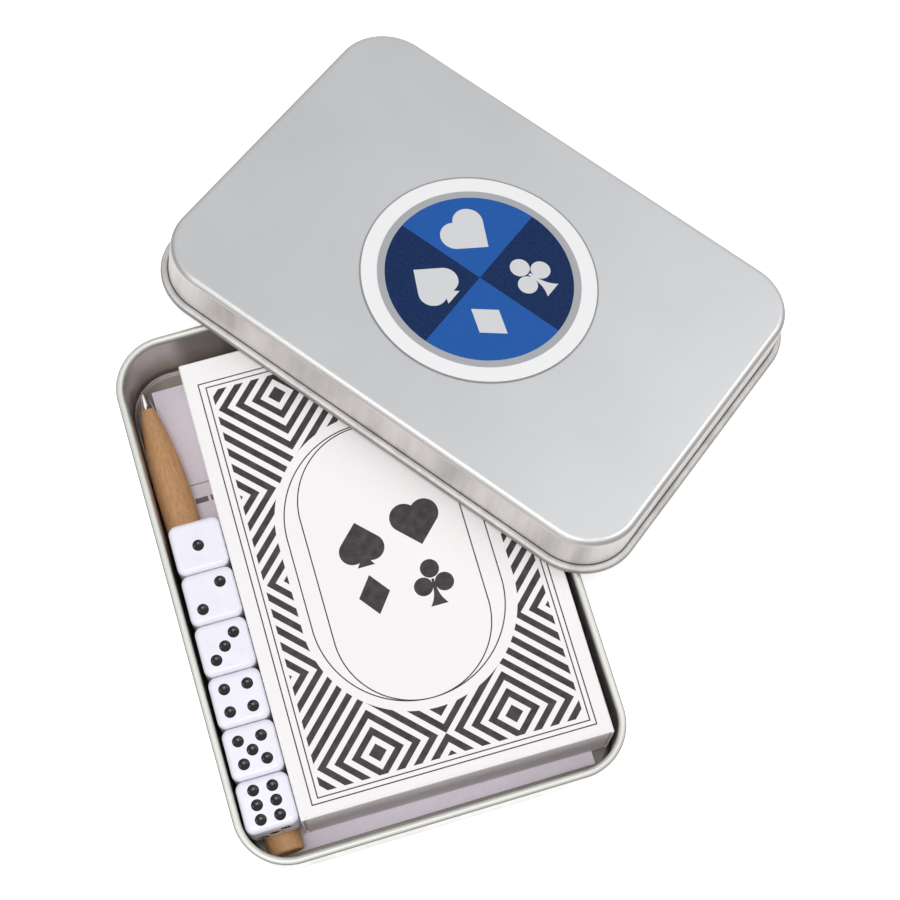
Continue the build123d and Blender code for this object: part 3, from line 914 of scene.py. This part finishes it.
class OBJECT_OT_card_box_pen(bpy.types.Operator):
    """Finishes the pen's paper barrel, plated cone, plug, refill and point"""

    bl_idname = "card_box.pen"
    bl_label = "Pen"

    def execute(self, context):
        pen = context.scene.card_box_pen
        rear = middle_of("pen_plug")
        ahead = middle_of("pen_refill") - rear
        turn = (0, 0, atan2(ahead.y, ahead.x))
        kraft = Finish("kraft_paper")
        where = kraft.place(rear, turn)
        fibre = kraft.noise(kraft.stretch(where, (0.5, 1.6, 1.6)), 1.1, 4.0, 0.65)
        speck = kraft.less(0.73, kraft.noise(kraft.stretch(where, (0.6, 1.2, 1.2)), 1.9, 1.0))
        paper = kraft.mottle(kraft.vary(fibre), pen.kraft, 0.84, 1.14)
        kraft.tint(kraft.mix(kraft.times(speck, 0.45), paper, shade(pen.kraft, 0.35)))
        kraft.dull(kraft.vary(fibre, 0.6, 0.8))
        kraft.relief(fibre, 0.03 * MM)
        dress("pen_barrel", kraft.material)
        for node, name, value, dull, metallic in (
            ("pen_cone", "plated_metal", pen.metal, 0.14, 1.0),
            ("pen_plug", "plug_plastic", pen.plug, 0.55, 0.0),
            ("pen_refill", "refill_plastic", pen.refill, 0.35, 0.0),
            ("pen_point", "turned_brass", pen.brass, 0.25, 1.0),
        ):
            finish = Finish(name, metallic=metallic)
            where = finish.place(rear, turn)
            rings = finish.noise(finish.stretch(where, (3.0, 0.4, 0.4)), 1.5, 2.0)
            tint = finish.mottle(rings, value, 0.9, 1.08)
            if node == "pen_cone":
                # Painted reflection: dark streaks along the plated cone stand in for the dark surroundings
                # that it mirrors
                streaks = finish.noise(finish.stretch(where, (0.04, 1.0, 1.0)), 0.8)
                tint = finish.mix(finish.spread(streaks, 0.40, 0.48), shade(value, 0.1), tint)
            finish.tint(tint)
            finish.dull(finish.vary(rings, dull * 0.8, dull * 1.2))
            dress(node, finish.material)
        return {"FINISHED"}


class OBJECT_OT_card_box_stage(bpy.types.Operator):
    """Sets the pale floor, the soft lamps, the even light and the camera"""

    bl_idname = "card_box.stage"
    bl_label = "Stage"

    def execute(self, context):
        stage = context.scene.card_box_stage
        scene = context.scene
        bm = bmesh.new()
        bmesh.ops.create_grid(bm, x_segments=1, y_segments=1, size=FLOOR_HALF)
        finish = Finish("pale_floor", roughness=0.9)
        finish.tint(FLOOR_COLOUR)
        floor = make_object(bm, "floor", [finish.material])
        direct, mirrored = finish.rays()
        glow = finish.either(
            finish.times(direct, stage.glow), finish.times(mirrored, stage.mirrored_glow)
        )
        finish.put(WHITE, finish.shader.inputs["Emission Color"])
        finish.put(glow, finish.shader.inputs["Emission Strength"])

        world = bpy.data.worlds.new("even_light")
        scene.world = world
        world.use_nodes = True
        sky = Nodes(world.node_tree)
        background = sky.first("BACKGROUND").inputs
        direct, mirrored = sky.rays()
        sky.put(WHITE, background["Color"])
        sky.put(sky.blend(sky.either(direct, mirrored), stage.sky, 1.0), background["Strength"])

        for name, place, size in LAMPS:
            lamp = bpy.data.lights.new(name + "_lamp", "AREA")
            lamp.shape = "DISK"
            lamp.size = size
            lamp.energy = getattr(stage, name)
            obj = bpy.data.objects.new(lamp.name, lamp)
            obj.location = place
            obj.rotation_euler = Vector(place).to_track_quat("Z", "Y").to_euler()
            scene.collection.objects.link(obj)

        azimuth, elevation, roll = (radians(value) for value in CAMERA_TURN)
        back = Vector((sin(azimuth) * cos(elevation), -cos(azimuth) * cos(elevation), sin(elevation)))
        right = Vector((cos(azimuth), sin(azimuth), 0))
        up = back.cross(right)
        across = cos(roll) * right + sin(roll) * up
        upright = cos(roll) * up - sin(roll) * right
        camera = bpy.data.cameras.new("photo_camera")
        camera.sensor_width = SENSOR
        camera.lens = SENSOR * FOCAL_LENGTH / PHOTO_WIDTH
        camera.clip_start = 0.01
        obj = bpy.data.objects.new("photo_camera", camera)
        turned = Matrix((across, upright, back)).transposed().to_4x4()
        place = (Vector(CAMERA_TARGET) + back * CAMERA_DISTANCE) * MM
        obj.matrix_world = Matrix.Translation(place) @ turned
        scene.collection.objects.link(obj)
        scene.camera = obj
        scene.view_settings.view_transform = "Standard"
        return {"FINISHED"}


SETTINGS = {
    "card_box_tin": TinSettings,
    "card_box_label": LabelSettings,
    "card_box_carton": CartonSettings,
    "card_box_leaflet": LeafletSettings,
    "card_box_dice": DiceSettings,
    "card_box_pen": PenSettings,
    "card_box_stage": StageSettings,
}
OPERATORS = (
    OBJECT_OT_card_box_tray,
    OBJECT_OT_card_box_lid,
    OBJECT_OT_card_box_label,
    OBJECT_OT_card_box_leaflet,
    OBJECT_OT_card_box_carton,
    OBJECT_OT_card_box_cards,
    OBJECT_OT_card_box_dice,
    OBJECT_OT_card_box_pen,
    OBJECT_OT_card_box_stage,
)


class VIEW3D_PT_card_box(bpy.types.Panel):
    bl_label = "Card box"
    bl_idname = "VIEW3D_PT_card_box"
    bl_space_type = "VIEW_3D"
    bl_region_type = "UI"
    bl_category = "Card box"

    def draw(self, context):
        for operator in OPERATORS:
            self.layout.operator(operator.bl_idname)
        for name, group in SETTINGS.items():
            column = self.layout.column(heading=name)
            for key in group.__annotations__:
                column.prop(getattr(context.scene, name), key)


def register():
    for group in SETTINGS.values():
        bpy.utils.register_class(group)
    for name, group in SETTINGS.items():
        setattr(bpy.types.Scene, name, PointerProperty(type=group))
    for operator in OPERATORS:
        bpy.utils.register_class(operator)
    bpy.utils.register_class(VIEW3D_PT_card_box)


def unregister():
    bpy.utils.unregister_class(VIEW3D_PT_card_box)
    for operator in reversed(OPERATORS):
        bpy.utils.unregister_class(operator)
    for name in SETTINGS:
        delattr(bpy.types.Scene, name)
    for group in SETTINGS.values():
        bpy.utils.unregister_class(group)


def main():
    register()
    for operator in OPERATORS:
        family, action = operator.bl_idname.split(".")
        getattr(getattr(bpy.ops, family), action)()


if __name__ == "__main__":
    main()
